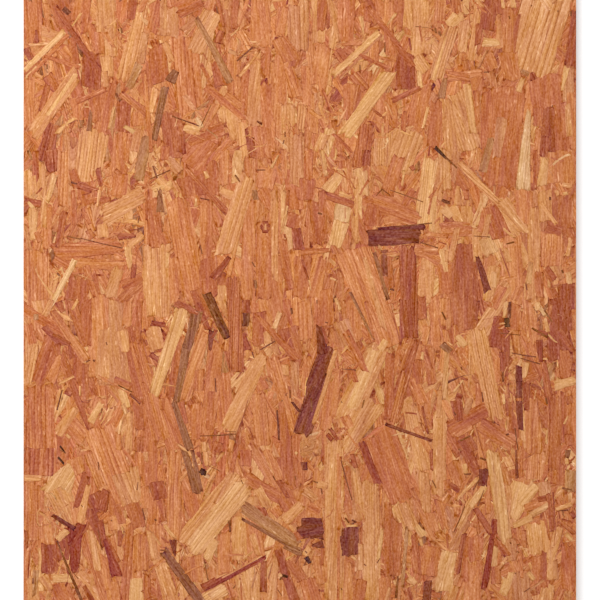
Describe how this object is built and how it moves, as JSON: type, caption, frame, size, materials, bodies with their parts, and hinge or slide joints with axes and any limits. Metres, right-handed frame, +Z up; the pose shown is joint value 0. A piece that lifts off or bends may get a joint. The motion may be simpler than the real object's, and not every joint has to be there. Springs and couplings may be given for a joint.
{
  "type": "oriented strand board panel",
  "caption": "Flat rectangular panel of pressed wood strands, sawn square on all sides, for sheathing, decking and shelving.",
  "frame": {"origin": "centre of the underside, on the surface the panel lies on", "axes": "+Z up out of the seen face, +Y along the panel and its strength axis (up in the picture), +X across the panel (right in the picture)"},
  "size_m": [0.61, 1.22, 0.011],
  "materials": {
    "strand_board": "pressed strands, unsanded, matt"
  },
  "bodies": {
    "root": {"osb_panel": "strand_board"}
  },
  "joints": []
}
